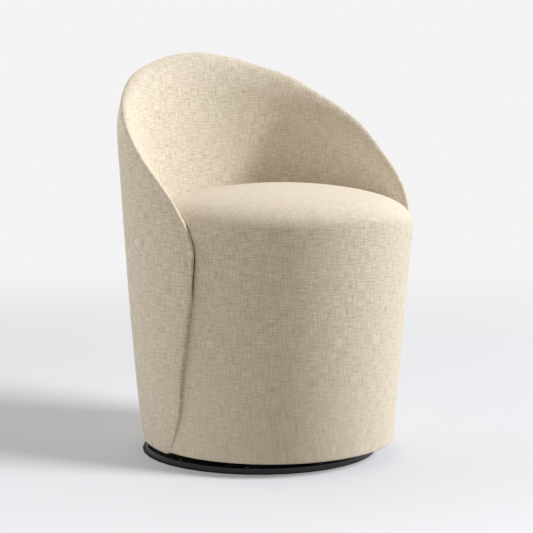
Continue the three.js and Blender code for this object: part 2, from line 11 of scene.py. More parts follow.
import bpy
import numpy as np
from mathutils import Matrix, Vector


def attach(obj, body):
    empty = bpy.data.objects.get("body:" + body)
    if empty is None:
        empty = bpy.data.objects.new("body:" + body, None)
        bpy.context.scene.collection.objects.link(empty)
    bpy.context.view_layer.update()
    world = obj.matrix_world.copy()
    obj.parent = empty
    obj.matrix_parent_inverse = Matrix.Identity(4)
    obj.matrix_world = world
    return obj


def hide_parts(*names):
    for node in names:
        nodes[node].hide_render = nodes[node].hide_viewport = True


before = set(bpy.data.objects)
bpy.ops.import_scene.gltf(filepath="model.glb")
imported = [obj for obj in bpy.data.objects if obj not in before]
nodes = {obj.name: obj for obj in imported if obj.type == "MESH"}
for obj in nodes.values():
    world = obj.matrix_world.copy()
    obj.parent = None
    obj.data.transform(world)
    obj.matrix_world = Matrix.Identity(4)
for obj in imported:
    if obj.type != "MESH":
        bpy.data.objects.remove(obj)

scene = bpy.context.scene
mm = 0.001
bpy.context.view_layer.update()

# %% [markdown]
# The photograph is taken from a little above the seat, with a long lens, from the chair's own
# right. A long lens keeps the sides of the tub nearly parallel. The camera stands on a circle
# round the chair, so its place is an angle, a distance and a height.

# %% Camera
camera_turn = math.radians(-33.81)
camera_distance = 2.9956
camera_height = 0.7034
camera_target = Vector((0.0120, -0.0080, 0.3557))
camera_lens = 104.94
sensor_width = 36

camera_data = bpy.data.cameras.new("camera")
camera_data.lens = camera_lens
camera_data.sensor_width = sensor_width
camera = bpy.data.objects.new("camera", camera_data)
camera.location = (
    camera_target.x + camera_distance * math.sin(camera_turn),
    camera_target.y - camera_distance * math.cos(camera_turn),
    camera_height,
)
camera.rotation_euler = (camera_target - camera.location).to_track_quat("-Z", "Y").to_euler()
scene.collection.objects.link(camera)
scene.camera = camera
scene.view_settings.view_transform = "Standard"
print("camera at", tuple(round(c, 3) for c in camera.location))

# %% [markdown]
# Every finish is a small tree of nodes. One function adds a node of any kind, sets its options
# and fills its inputs, either with a value or with a link from another node. Colours are written
# as sRGB hex values, as a maker would note them, and turned to linear light here.

# %% Helpers for nodes and colours
def linear(code):
    """sRGB hex to linear: each channel over 12.92 when dark, else ((c + 0.055) / 1.055) ** 2.4."""
    channels = [int(code[i:i + 2], 16) / 255 for i in (1, 3, 5)]
    return (*(c / 12.92 if c <= 0.04045 else ((c + 0.055) / 1.055) ** 2.4 for c in channels), 1)


def node(tree, kind, inputs=None, **settings):
    """Adds a node, sets its options, and fills its inputs, each with a value or with a link from
    a socket or from another node's first output."""
    made = tree.nodes.new("ShaderNode" + kind)
    for name, value in settings.items():
        setattr(made, name, value)
    for name, value in (inputs or {}).items():
        if isinstance(value, bpy.types.Node):
            value = value.outputs[0]
        if isinstance(value, bpy.types.NodeSocket):
            tree.links.new(value, made.inputs[name])
        else:
            made.inputs[name].default_value = value
    return made


def new_material(name, **settings):
    """A material with a Principled surface. The settings are that shader's own inputs."""
    made = bpy.data.materials.new(name)
    made.use_nodes = True
    tree = made.node_tree
    shader = tree.nodes["Principled BSDF"]
    for words, value in settings.items():
        label = words.replace("_", " ").title().replace("Ior", "IOR")
        shader.inputs[label].default_value = value
    return made, tree, shader


print("cream in linear light:", [round(c, 3) for c in linear("#E6DDC9")])

# %% [markdown]
# The room gives soft light from all sides. An even light would make the barrel look flat, so its
# strength leans: most comes from behind the chair and from the left, and least from above. Where
# it is weak it is also a little warmer, which keeps the shade on the cloth from turning grey. The
# lens sees none of that, because Light Path tells the world which rays are looked along, and those
# get the white of a paper backdrop.

# %% World
background_strength = 0.90
room_strength = 1.36
bright_side_turn = math.radians(-149)
bright_side_lean = 0.89
ceiling_lean = -1.00
least_strength = 0.05
bright_side_colour = "#FFFFFF"
dark_side_colour = "#FFE7CC"
colour_share = 0.6


def level_way(turn):
    """A level direction, as a turn to the right from the way from the chair to the camera."""
    return Vector((math.sin(camera_turn + turn), -math.cos(camera_turn + turn), 0))


def ray_is_seen(tree):
    """1 for a ray of the lens, or one that a mirror or glass sends on, and 0 for light."""
    path = node(tree, "LightPath").outputs
    seen = node(tree, "Math", {0: path["Is Camera Ray"], 1: path["Is Transmission Ray"]},
                operation="MAXIMUM")
    return node(tree, "Math", {0: seen, 1: path["Is Glossy Ray"]}, operation="MAXIMUM")


world = bpy.data.worlds.new("studio")
scene.world = world
world.use_nodes = True
tree = world.node_tree
tree.nodes.clear()
direction = node(tree, "TexCoord").outputs["Generated"]
lean_way = level_way(bright_side_turn) * bright_side_lean + Vector((0, 0, ceiling_lean))
lean = node(tree, "VectorMath", {0: direction, 1: lean_way}, operation="DOT_PRODUCT")
strength = node(tree, "Math", {0: lean.outputs["Value"], 1: room_strength}, operation="ADD")
strength = node(tree, "Math", {0: strength, 1: least_strength}, operation="MAXIMUM")
share = node(tree, "Math", {0: strength, 1: colour_share}, operation="MULTIPLY")
colour = node(tree, "Mix", {
    0: share, 6: linear(dark_side_colour), 7: linear(bright_side_colour)}, data_type="RGBA")
light = node(tree, "Background", {"Color": colour.outputs[2], "Strength": strength})
backdrop = node(tree, "Background", {"Color": linear("#FFFFFF"), "Strength": background_strength})
mixed = node(tree, "MixShader", {0: ray_is_seen(tree), 1: light, 2: backdrop})
node(tree, "OutputWorld", {"Surface": mixed})
print("room light from", least_strength, "to",
      round(room_strength + math.hypot(bright_side_lean, ceiling_lean), 2))

# %% [markdown]
# Two round lamps stand far off to the right. The small one is square to the view: it models the
# round drum and throws the rim's shadow across the inside of the back. The wide one stands nearer
# to the camera's side and throws the chair's soft shadow on the floor. Each lights only what it is
# for, as flags and screens do in a studio, and in Blender that is light linking.

# %% Lamps
lamp_distance = 14.0
lamp_rise = math.radians(33)
key_turn = math.radians(94)
key_size = 2.4
key_power = 1780
floor_lamp_turn = math.radians(68)
floor_lamp_size = 5.5
floor_lamp_power = 5000


def add_lamp(name, turn, size, power):
    """A round lamp that looks at the chair from afar."""
    data = bpy.data.lights.new(name, "AREA")
    data.shape = "DISK"
    data.size = size
    data.energy = power
    made = bpy.data.objects.new(name, data)
    way = level_way(turn) * math.cos(lamp_rise) + Vector((0, 0, math.sin(lamp_rise)))
    made.location = camera_target + lamp_distance * way
    made.rotation_euler = (-way).to_track_quat("-Z", "Y").to_euler()
    scene.collection.objects.link(made)
    print(name, "at", tuple(round(c, 2) for c in made.location))
    return made


key_lamp = add_lamp("key_lamp", key_turn, key_size, key_power)
floor_lamp = add_lamp("floor_lamp", floor_lamp_turn, floor_lamp_size, floor_lamp_power)

# %% [markdown]
# The floor is white matt paint, lit so strongly that it glows, and far off it runs into the
# backdrop without an edge. The lens sees it with a share of plain white mixed in, which grows to
# all with distance. In front of the chair the lens sees a paler colour still: painted light, which
# hides the chair's shade on the floor there. Light that goes on from the floor to the cloth takes
# a darker colour, so that the shaded side of the drum keeps its depth.

# %% Floor
floor_reach = 30
floor_colour = "#7C7A74"
floor_seen_colour = "#A6A9AE"
floor_front_painted_light = "#AFB2B7"
floor_glow = 0.28
front_start = -0.15
front_end = -0.65
fade_start = 0.9
fade_end = 3.2

floor_mesh = bpy.data.meshes.new("floor")
floor_corners = [(-floor_reach, -floor_reach, 0), (floor_reach, -floor_reach, 0),
                 (floor_reach, floor_reach, 0), (-floor_reach, floor_reach, 0)]
floor_mesh.from_pydata(floor_corners, [], [(0, 1, 2, 3)])
floor = bpy.data.objects.new("floor", floor_mesh)
scene.collection.objects.link(floor)

# Matt paint scatters light evenly and has next to no shine.
floor_material, tree, shader = new_material(
    "matt_painted_floor", base_color=linear(floor_colour), roughness=0.9, specular_ior_level=0.1)
floor_mesh.materials.append(floor_material)
place = node(tree, "TexCoord").outputs["Object"]
away = node(tree, "VectorMath", {0: place, 1: level_way(math.pi)}, operation="DOT_PRODUCT")
fade = node(tree, "MapRange", {
    "Value": away.outputs["Value"], "From Min": fade_start, "From Max": fade_end,
    "To Min": floor_glow}, interpolation_type="SMOOTHSTEP")
seen = ray_is_seen(tree)
fade = node(tree, "Math", {0: fade, 1: seen}, operation="MULTIPLY")
# Painted light: nearer the camera the floor is painted paler, over the shade that the chair throws in
# front of it.
in_front = node(tree, "MapRange", {
    "Value": away.outputs["Value"], "From Min": front_start, "From Max": front_end})
shown = node(tree, "Mix", {
    0: in_front, 6: linear(floor_seen_colour), 7: linear(floor_front_painted_light)}, data_type="RGBA")
colour = node(tree, "Mix", {
    0: seen, 6: linear(floor_colour), 7: shown.outputs[2]}, data_type="RGBA")
tree.links.new(colour.outputs[2], shader.inputs["Base Color"])
white = node(tree, "Emission", {"Strength": background_strength})
mixed = node(tree, "MixShader", {0: fade, 1: shader, 2: white})
tree.links.new(mixed.outputs[0], tree.nodes["Material Output"].inputs["Surface"])

for lamp, state in ((key_lamp, "EXCLUDE"), (floor_lamp, "INCLUDE")):
    lights = bpy.data.collections.new(lamp.name + "_and_floor")
    lights.objects.link(floor)
    lights.collection_objects[0].light_linking.link_state = state
    lamp.light_linking.receiver_collection = lights
    print(lamp.name, state, "the floor")

# %% [markdown]
# The tub is a barrel: its rings are ellipses whose half sizes swell from the floor to half way up
# and draw in again at the top, each through three sizes on a parabola. The padding makes the
# flanks of the back stand out a little further below the rim and hollow lower down. A point of the
# barrel is an angle from the middle of the back, a height, and a depth inwards from the face.

# %% Barrel
back_height = 0.770
barrel_half_widths = (0.234, 0.274, 0.276)
barrel_half_depths = (0.2705, 0.290, 0.2685)
barrel_set_forwards = (0.0433, 0.0305)
mean_radius = (barrel_half_widths[1] + barrel_half_depths[1]) / 2
swell_out = 6.5 * mm
swell_height = 0.630
swell_reach = 0.080
hollow_in = 3.5 * mm
hollow_heights = (0.04, 0.25, 0.36, 0.54)
flank_angles = (0.35, 0.87, 1.3, 1.85)


def through_three(sizes, share):
    """A parabola through three sizes at shares 0, 1/2 and 1."""
    low, middle, top = sizes
    return low * (1 - share) * (1 - 2 * share) + 4 * middle * share * (1 - share) \
        + top * share * (2 * share - 1)


def barrel_ring(height):
    """Half width, half depth and how far forward the middle lies, of the ring at a height."""
    share = height / back_height
    low, top = barrel_set_forwards
    return (through_three(barrel_half_widths, share), through_three(barrel_half_depths, share),
            low + (top - low) * share)


def smoothstep(value, low, high):
    """0 below low, 1 above high, and 3 t squared less 2 t cubed between."""
    t = np.clip((value - low) / (high - low), 0, 1)
    return t * t * (3 - 2 * t)


def plateau(value, marks):
    """1 between the second and third of four marks, falling to 0 at the outer two."""
    return smoothstep(value, *marks[:2]) * (1 - smoothstep(value, *marks[2:]))


def flank_swell(angle, height):
    """How far the padded flanks of the back stand out from the ellipse: a bell, e to the minus
    square, round one height, less a hollow lower down. Both fade out at the middle and front."""
    bell = np.exp(-((height - swell_height) / swell_reach) ** 2)
    hollow = plateau(height, hollow_heights)
    return plateau(np.abs(angle), flank_angles) * (swell_out * bell - hollow_in * hollow)


def barrel_point(angle, height, depth):
    """x is the half width less the depth, times the sine; y the half depth less it, times the
    cosine, less the set forward."""
    half_width, half_depth, forward = barrel_ring(height)
    depth = depth - flank_swell(angle, height)
    x = (half_width - depth) * np.sin(angle)
    y = (half_depth - depth) * np.cos(angle) - forward
    return np.stack(np.broadcast_arrays(x, y, height), axis=-1)


print("mean radius of the barrel:", round(mean_radius, 4))

# %% [markdown]
# The seam is the line that makes this chair. It climbs from the hem where the outer cover meets
# the front, and runs on as the crease of the sloping rim to the top of the back. Laid out flat, as
# distance round the barrel and height, it is a smooth curve through thirteen points and their
# mirror images, and every cover is drawn from it.

# %% Seam
hem_height = 0.030
hem_turn = 2.5 * mm
column_spacing = 5 * mm
seam_angles = np.radians([88, 93.5, 101.6, 105.7, 110.3, 113.9, 115, 105.6, 89.2, 73.4, 55.5, 35.9, 0])
seam_height_shares = np.array(
    [0, 0.0425, 0.133, 0.242, 0.354, 0.462, 0.555, 0.657, 0.745, 0.826, 0.895, 0.954, 1])


def smooth_curve(knots, count):
    """Catmull-Rom: between two knots, a cubic whose slope at each is half the way between its
    neighbours."""
    padded = np.vstack([knots[:1], knots, knots[-1:]])
    turn = np.linspace(0, len(knots) - 1, count)
    span = np.minimum(turn.astype(int), len(knots) - 2)
    u = (turn - span)[:, None]
    a, b, c, d = (padded[span + i] for i in range(4))
    return b + (c - a) * u / 2 + (2 * a - 5 * b + 4 * c - d) * u ** 2 / 2 \
        + (3 * b - a - 3 * c + d) * u ** 3 / 2


def along(line):
    """Length run from the first point of a line to each of its points."""
    steps = np.linalg.norm(np.diff(line, axis=0), axis=1)
    return np.concatenate([[0], np.cumsum(steps)])


half_seam = np.column_stack([seam_angles * mean_radius, seam_height_shares * back_height])
seam_line = smooth_curve(np.vstack([half_seam, half_seam[-2::-1] * [-1, 1]]), 6000)
seam_line = seam_line[seam_line[:, 1] >= hem_height + hem_turn]
seam_run = along(seam_line)
seam_count = 2 * int(seam_run[-1] / column_spacing / 2) + 1
seam_places = np.linspace(0, seam_run[-1], seam_count)
seam = np.column_stack([np.interp(seam_places, seam_run, seam_line[:, i]) for i in (0, 1)])
slopes = np.gradient(seam_line, seam_run, axis=0)
slopes = np.column_stack([np.interp(seam_places, seam_run, slopes[:, i]) for i in (0, 1)])
across = np.column_stack([-slopes[:, 1], slopes[:, 0]])
from_hem = np.minimum(seam_places, seam_run[-1] - seam_places)
print("seam:", round(seam_run[-1], 3), "m long, in", seam_count, "columns")

# %% [markdown]
# A piece is a grid of points with its rows and columns numbered, so that two edges of a grid can
# share the same points, and a closed end can meet in one. The cloth's own measure goes with each
# point as a UV map in metres, so that the weave keeps its true size on every cover.

# %% Grid to mesh
def quads(index, around=False):
    """The four corners of each cell of a grid of point numbers. around closes the columns."""
    if around:
        index = np.hstack([index, index[:, :1]])
    a, b = index[:-1, :-1], index[:-1, 1:]
    c, d = index[1:, 1:], index[1:, :-1]
    return np.stack([a, b, c, d], axis=-1).reshape(-1, 4)


def make_piece(name, points, cells, maps=None, shares=None):
    """A smooth mesh. Cells with two equal corners are triangles, points that no cell uses are
    dropped, and each map gives a point its place on the cloth."""
    used, cells = np.unique(cells, return_inverse=True)
    cells = cells.reshape(-1, 4)
    starts = cells[:, 0] == cells[:, 1]
    cells[starts] = np.roll(cells[starts], 2, axis=1)
    repeated = cells[:, 2] == cells[:, 3]
    mesh = bpy.data.meshes.new(name)
    faces = cells[~repeated].tolist() + cells[repeated][:, :3].tolist()
    mesh.from_pydata(points.reshape(-1, 3)[used].tolist(), [], faces)
    corner_points = np.empty(len(mesh.loops), int)
    mesh.loops.foreach_get("vertex_index", corner_points)
    for map_name, places in (maps or {}).items():
        layer = mesh.uv_layers.new(name=map_name)
        layer.data.foreach_set("uv", places.reshape(-1, 2)[used][corner_points].ravel())
    for share_name, values in (shares or {}).items():
        layer = mesh.attributes.new(share_name, "FLOAT", "POINT")
        layer.data.foreach_set("value", values.reshape(-1)[used].astype(np.float32))
    mesh.shade_smooth()
    made = bpy.data.objects.new(name, mesh)
    scene.collection.objects.link(made)
    print(name, "has", len(mesh.vertices), "points and", len(mesh.polygons), "faces")
    return made


def thicken(piece, thickness):
    """Cloth has two faces: the second lies inwards by its thickness."""
    wall = piece.modifiers.new("cloth", "SOLIDIFY")
    wall.thickness = thickness
    wall.offset = -1
    return piece


def numbered(rows, columns):
    """The numbers of a grid's points, row by row."""
    return np.arange(rows * columns).reshape(rows, columns)


# %% [markdown]
# The outer cover is one panel, stretched round the shell from seam to seam. Its edge is turned
# in, so it ends in a small round fold, and it swells a little before the fold because there is
# wadding under it. Round the arm's tip the cloth puckers, lower down it is turned in deep over the
# side of the shell, and at the hem it hangs a little lower than the front. Its grid follows the
# seam: rows run parallel to the edge, where the fine shape is, and then close in on a spine up the
# middle of the back, where the two halves meet. A cloth simulation would give the same here,
# because the cloth lies tight everywhere, so every fold is worked out.

# %% Sizes and swell of the outer cover
cloth_thickness = 0.8 * mm

# The folded edge, and how the padding rounds over beside it: on the sides, and more on the back.
edge_turn = 1.0 * mm
edge_sink = 1.6 * mm
edge_swell_reach = 22 * mm
rim_sink = 4.5 * mm
rim_swell_reach = 40 * mm
flat_fold = 0.4

# How deep the cloth is turned in behind its edge, and how far the edge keeps from the seam.
edge_tuck = 4 * mm
side_tuck_low = 11 * mm
seam_gap = 0.1 * mm
tip_gap = 0.8 * mm
bead_width = 3.4 * mm

# The pucker beside the arm's tip.
pucker_depth = 1.7 * mm
pucker_place = 9 * mm
pucker_width = 3 * mm

# How far in the rows run parallel to the edge, and how high the spine reaches.
band_reach = 60 * mm
hem_square_reach = 80 * mm
spine_top = 0.500

# The hem: how deep it is turned in, how much lower it hangs, and how it eases into that.
hem_tuck = 9 * mm
hem_hang = 4 * mm
hem_ease = 40 * mm
corner_round = 14 * mm

# Heights between which one way of lying goes over into the next.
tip_low = 0.400
tip_high = 0.445
side_tuck_heights = (0.30, 0.36)
flat_fold_heights = (0.30, 0.40)
tip_heights = (0.33, 0.40)
back_heights = (0.47, 0.64)

on_rim = smoothstep(seam[:, 1], tip_low, tip_high)
at_tip = smoothstep(seam[:, 1], *tip_heights) * (1 - on_rim)
edge_place = seam_gap + tip_gap * at_tip + bead_width * on_rim
on_back = smoothstep(seam[:, 1], *back_heights)
sunk = rim_sink * on_back
swell_span = edge_swell_reach + (rim_swell_reach - edge_swell_reach) * on_back


def swell(distance):
    """Depth near a turned edge: the sink at the edge, falling to nothing as a parabola. On the
    back the padding rounds over further before it meets the crease. Where the cloth is pulled
    round the arm's tip it puckers: a groove beside the seam, e to the minus square across."""
    pucker = np.exp(-((distance - pucker_place) / pucker_width) ** 2)
    return (edge_sink + sunk) * np.clip(1 - distance / swell_span, 0, 1) ** 2 \
        + pucker_depth * pucker * at_tip


def fold_share(height):
    """Below the arm's tip the seam is drawn tight, so the two folds beside it are flatter."""
    return flat_fold + (1 - flat_fold) * smoothstep(height, *flat_fold_heights)


print("columns on the rim:", round(float(on_rim.sum())), "and at the tips:", round(float(at_tip.sum())))

# %% [markdown]
# Seen across the edge, the cloth comes up out of the tuck, goes round the fold by a quarter turn
# and runs on over the wadding. So each row has a distance from the seam and a depth, and rows lie
# closest at the fold, where the cloth bends most.

# %% Edge of the outer cover
fold = np.radians(np.linspace(0, 90, 6))[:, None]
fold_distance = edge_turn * (1 - np.cos(fold))
fold_depth = edge_turn * (1 - np.sin(fold)) * fold_share(seam[:, 1]) + swell(fold_distance)
on_side = 1 - smoothstep(seam[:, 1], *side_tuck_heights)
side_tuck = edge_tuck + (side_tuck_low - edge_tuck) * on_side
tuck = np.array([1, 0.5])[:, None] * side_tuck * (1 - on_rim)
band = np.geomspace(edge_turn, band_reach, 16)[1:, None]
ones = np.ones((1, seam_count))
distance = np.vstack([0 * tuck, fold_distance * ones, band * ones]) + edge_place
depth = np.vstack([tuck + fold_depth[0], fold_depth * ones, swell(band) * ones])

square = np.sign(-seam[:, :1]) * [1, 0]
way = square + (across - square) * smoothstep(from_hem, 0, hem_square_reach)[:, None]
way /= np.linalg.norm(way, axis=1, keepdims=True)
edge_band = seam + way * distance[..., None]
print("edge of the outer cover:", len(edge_band), "rows, up to",
      round(1000 * float(depth.max()), 1), "mm deep")

# %% [markdown]
# Inside the edge the panel is plain. More rows close in on the spine. At the hem every column goes
# on round a small fold and inwards, and the hem hangs lower except at its two corners.

# %% Outer cover
spine_share = smoothstep(from_hem / from_hem.max(), -1, 1) * 2 - 1
spine = np.column_stack([0 * from_hem, hem_height + hem_turn
                         + (spine_top - hem_height - hem_turn) * spine_share])
inner_rows = 62
closing = np.linspace(0, 1, inner_rows + 1)[1:, None, None]
flat = np.concatenate([edge_band, edge_band[-1] + (spine - edge_band[-1]) * closing])
depth = np.vstack([depth, np.zeros((inner_rows, seam_count))])


def turn_hem(flat, depth):
    """Columns added at both ends of a grid: a quarter round at the hem, then straight inwards."""
    turn = np.radians(np.array([90, 68, 45, 22]))
    drops = np.concatenate([[0], hem_turn * np.sin(turn)])
    depths = np.concatenate([[hem_tuck], hem_turn * (1 - np.cos(turn))])
    drops[0] = hem_turn
    left = np.repeat(flat[:, :1], len(drops), axis=1)
    right = np.repeat(flat[:, -1:], len(drops), axis=1)
    left[..., 1] -= drops
    right[..., 1] -= drops[::-1]
    flat = np.concatenate([left, flat, right], axis=1)
    depth = np.concatenate([depth[:, :1] + depths, depth, depth[:, -1:] + depths[::-1]], axis=1)
    return flat, depth


flat, depth = turn_hem(flat, depth)
from_corner = np.minimum(np.abs(flat[..., 0] - seam[0, 0]), np.abs(flat[..., 0] - seam[-1, 0]))
near_hem = 1 - smoothstep(flat[..., 1], hem_height, hem_height + hem_ease)
flat[..., 1] -= hem_hang * near_hem * smoothstep(from_corner, 0, corner_round)
rows, columns = depth.shape
points = barrel_point(flat[..., 0] / mean_radius, flat[..., 1], depth)
index = numbered(rows, columns)
index[-1] = np.where(np.arange(columns) > columns // 2, index[-1, ::-1], index[-1])
outer_cover = thicken(make_piece(
    "outer_back_linen", points, quads(index), {"weave": flat}), cloth_thickness)

# %% [markdown]
# The inner cover starts as a flange under the outer one, comes up as a narrow bead that makes the
# crease of the rim, rises a little and rolls over the padded rim in a long quarter turn, and then
# goes straight down the inside of the back. The wall is thickest at the middle of the back and
# dies out at the front, so the roll narrows with it.

# %% Wall of the padded back
# From the outer face to the inner one, at the middle of the back and at the front.
rear_wall = 0.042
tip_wall = 0.012
wall_taper = 1.5

# The inner back leans away from the sitter, so the wall is thicker towards the seat.
wedge_top = 0.755
wedge_ease = 0.040
wedge_slope = 0.15
wedge_power = 5


def wall_thickness(angle, height):
    """Tip thickness plus the rest times c to the power 1.5, where c is (1 + cosine) / 2, plus a
    wedge for the leaning back: its slope times the drop under its top, times c to the power 5.
    The wedge starts as a parabola."""
    middle_share = (1 + np.cos(angle)) / 2
    drop = np.maximum(wedge_top - height, 0)
    eased = np.where(drop < wedge_ease, drop ** 2 / wedge_ease / 2, drop - wedge_ease / 2)
    wedge = wedge_slope * eased * middle_share ** wedge_power
    return tip_wall + (rear_wall - tip_wall) * middle_share ** wall_taper + wedge


print("wall at the seat:", [round(float(wall_thickness(math.radians(turn), 0.48)), 3)
                            for turn in (0, 60, 120)])

# %% [markdown]
# Across the rim there are three parts in a row: the flange under the outer cover, the bead, which
# is half a circle, and the roll, whose depth is the wall's times the sine to the power 1.2. The
# roll starts where it has the bead's own depth, so the two meet without a step.

# %% Roll over the rim
rim_start = tip_low + 5 * mm
flange_reach = 10 * mm
flange_depth = 4.6 * mm
flange_step = 0.6 * mm
bead_gap = 0.2 * mm
roll_share = 1.75
roll_power = 1.2
roll_rise = 0.10

kept = seam[:, 1] > rim_start
rim = seam[kept]
rim_way = across[kept]
rim_edge = edge_place[kept]
rim_sunk = sunk[kept]
wall = wall_thickness(rim[:, 0] / mean_radius, rim[:, 1])
roll = wall * roll_share
bead = (rim_edge - bead_gap) / 2

bead_turn = np.radians(np.linspace(-10, 180, 9))[:, None]
bead_distance = bead * (1 + np.cos(bead_turn))
bead_depth = bead * (1 - np.sin(bead_turn)) + rim_sunk
flange = np.array([1, 0.4, 0])[:, None]
flange_distance = bead_distance[0] + flange_step + flange * (flange_reach - bead_distance[0])
roll_turn = np.radians(np.linspace(0, 90, 25))[1:, None]
first_turn = np.arcsin((bead / (wall - rim_sunk)) ** (1 / roll_power))
roll_turn = roll_turn + first_turn * (1 - roll_turn / (math.pi / 2))
roll_distance = roll * (1 - np.cos(roll_turn) - roll_rise * np.sin(2 * roll_turn))
distance = np.vstack([flange_distance, bead_distance, roll_distance])
rolled = rim + rim_way * distance[..., None]
roll_place = rolled[-len(roll_turn):]
wall = wall_thickness(roll_place[..., 0] / mean_radius, roll_place[..., 1])
depth = np.vstack([flange_depth + rim_sunk + 0 * flange_distance, bead_depth,
                   rim_sunk + (wall - rim_sunk) * np.sin(roll_turn) ** roll_power])
run = np.hypot(np.diff(distance, axis=0), np.diff(depth, axis=0))
run = np.vstack([0 * bead, np.cumsum(run, axis=0)]) - flange_reach
rolled_cloth = rim + rim_way * run[..., None]
print("the roll is", round(1000 * float(roll.min())), "to", round(1000 * float(roll.max())), "mm wide")

# %% [markdown]
# From the end of the roll the cloth goes down behind the cushion, at the depth of the wall.

# %% Inner cover
inner_foot = 0.420
least_fall = 2 * mm
wall_rows = 54

foot = np.minimum(inner_foot, rolled[-1, :, 1] - least_fall)
falling = np.linspace(0, 1, wall_rows + 1)[1:, None]
drop = (rolled[-1, :, 1] - foot) * falling
wall_flat = np.stack([rolled[-1, :, 0] + 0 * drop, rolled[-1, :, 1] - drop], axis=-1)
wall_cloth = np.stack([rolled_cloth[-1, :, 0] + 0 * drop, rolled_cloth[-1, :, 1] - drop], axis=-1)
flat = np.concatenate([rolled, wall_flat])
cloth = np.concatenate([rolled_cloth, wall_cloth])
depth = np.vstack([depth, wall_thickness(wall_flat[..., 0] / mean_radius, wall_flat[..., 1])])
points = barrel_point(flat[..., 0] / mean_radius, flat[..., 1], depth)
inner_cover = thicken(make_piece(
    "inner_back_linen", points, quads(numbered(*depth.shape))[:, ::-1], {"weave": cloth}),
    cloth_thickness)

# %% [markdown]
# The seat and the front are one cloth over foam. Seen from above it is an oval with a low crown,
# pitched a little to the back, whose edge rounds over and becomes the upright front. Behind the
# seam the cushion is pressed against the inside of the tub instead, so it ends there in a tight
# soft tuck. Columns of the grid follow the seam on both sides of the arm's tip, and a few more
# join them where the cloth turns in round the tip.

# %% Drum and seat sizes
seat_height = 0.4774
drum_half_width_low = barrel_half_widths[0] + 0.5 * mm
drum_half_width_top = through_three(barrel_half_widths, seat_height / back_height) - 4.9 * mm
drum_half_depths = (0.2330, 0.2697)
drum_set_forward = 0.0416

# The crown and its pitch, and the shoulder where it rounds over, in front and at the sides.
crown_rise = 0.043
seat_pitch = 0.043
shoulder_drop = 0.032
shoulder_drop_side = 0.052
shoulder_power = 8
shoulder_round = 0.38

# How far down the cushion reaches, and how it meets the padding behind it.
skirt_foot = 0.413
cushion_gap = 0.7 * mm
rear_tuck = 11 * mm


def drum_ring(height):
    """Half width and half depth, which grow in a straight line from the floor to the seat."""
    share = height / seat_height
    half_width = drum_half_width_low + (drum_half_width_top - drum_half_width_low) * share
    half_depth = drum_half_depths[0] + (drum_half_depths[1] - drum_half_depths[0]) * share
    return half_width, half_depth


def drum_point(angle, height, depth):
    """As for the barrel: an angle round the ellipse, a height, and a depth under the face."""
    half_width, half_depth = drum_ring(height)
    x = (half_width - depth) * np.sin(angle)
    y = (half_depth - depth) * np.cos(angle) - drum_set_forward
    return np.stack(np.broadcast_arrays(x, y, height), axis=-1)


def drop_at(angle):
    """The shoulder is deeper towards the arms, by the sine squared."""
    return shoulder_drop + (shoulder_drop_side - shoulder_drop) * np.sin(angle) ** 2


def edge_height(angle):
    """Where the rounding of the seat's edge starts: lower at the back, by the pitch."""
    return seat_height - drop_at(angle) - seat_pitch * drum_half_depths[1] * np.cos(angle)


def seat_point(angle, share):
    """The edge point drawn in to a share of its radius, on the crown, a parabola, plus the
    shoulder, which is (1 - share to the 8th) to the power 0.38."""
    edge = drum_point(angle, edge_height(angle), 0)
    level = seat_height - drop_at(angle)
    rise = crown_rise * (1 - share ** 2)
    shoulder = drop_at(angle) * (1 - share ** shoulder_power) ** shoulder_round
    x = edge[..., 0] * share
    y = (edge[..., 1] + drum_set_forward) * share - drum_set_forward
    height = level + (edge[..., 2] - level) * share + rise + shoulder
    return np.stack([x, y, height], axis=-1)


right_seam = seam_line[:np.argmax(seam_line[:, 1])]


def seam_drum_angle(height):
    """The angle round the drum at which the seam passes a height."""
    angle = np.interp(height, right_seam[:, 1], right_seam[:, 0]) / mean_radius
    place = barrel_point(angle, height, 0)
    half_width, half_depth = drum_ring(height)
    return np.arctan2(place[..., 0] / half_width, (place[..., 1] + drum_set_forward) / half_depth)


print("the seam meets the seat's edge at", round(math.degrees(float(seam_drum_angle(0.43)))),
      "degrees from the middle of the back")

# %% [markdown]
# The cloth bends sharply at three places: over the seat's edge, beside the seam, and where it dips
# behind the cushion. An even grid fine enough for those would be heavy everywhere else. So rows
# lie closer together near the edge, and columns beside the seam.

# %% Rows and columns of the seat
row_spacing = 4.5 * mm
fine_row_spacing = 2.5 * mm
fine_share = 0.86
front_reach = 0.36
rear_reach = 0.56
tuck_columns = 4

fine_shares = 1 - np.geomspace(1e-5, 1, 4000)
profile = seat_point(np.pi / 2, fine_shares)[:, ::2]
profile_run = along(profile)
fine_end = np.interp(-fine_share, -fine_shares, profile_run)
places = np.concatenate([
    np.linspace(0, fine_end, int(fine_end / fine_row_spacing)),
    np.linspace(fine_end, profile_run[-1], int((profile_run[-1] - fine_end) / row_spacing))[1:]])
seat_shares = np.interp(places, profile_run, fine_shares)[:-1]
seat_shares[0] = 1

near = np.array([0, 0.25, 0.6, 1, 1.4, 1.8, 2.5, 3.5, 5, 7, 9.5, 13, 17]) * mm


def spread(reach):
    """Distances from the seam, close together beside it and even further on, as shares."""
    rest = np.linspace(near[-1], reach, int((reach - near[-1]) / column_spacing))
    return np.concatenate([near, rest[1:]]) / reach


front_shares = spread(front_reach)
rear_shares = spread(rear_reach)
print("seat rows:", len(seat_shares), "columns on a side:", len(front_shares), "+", len(rear_shares))

# %% [markdown]
# Near the seam the front turns in by a small fold, like the back beside it. Behind the seam each
# point is measured against the barrel: a cushion is softer than the padded shell round it, so it
# gives way and its edge dips. A few columns join the two across the end of the arm.

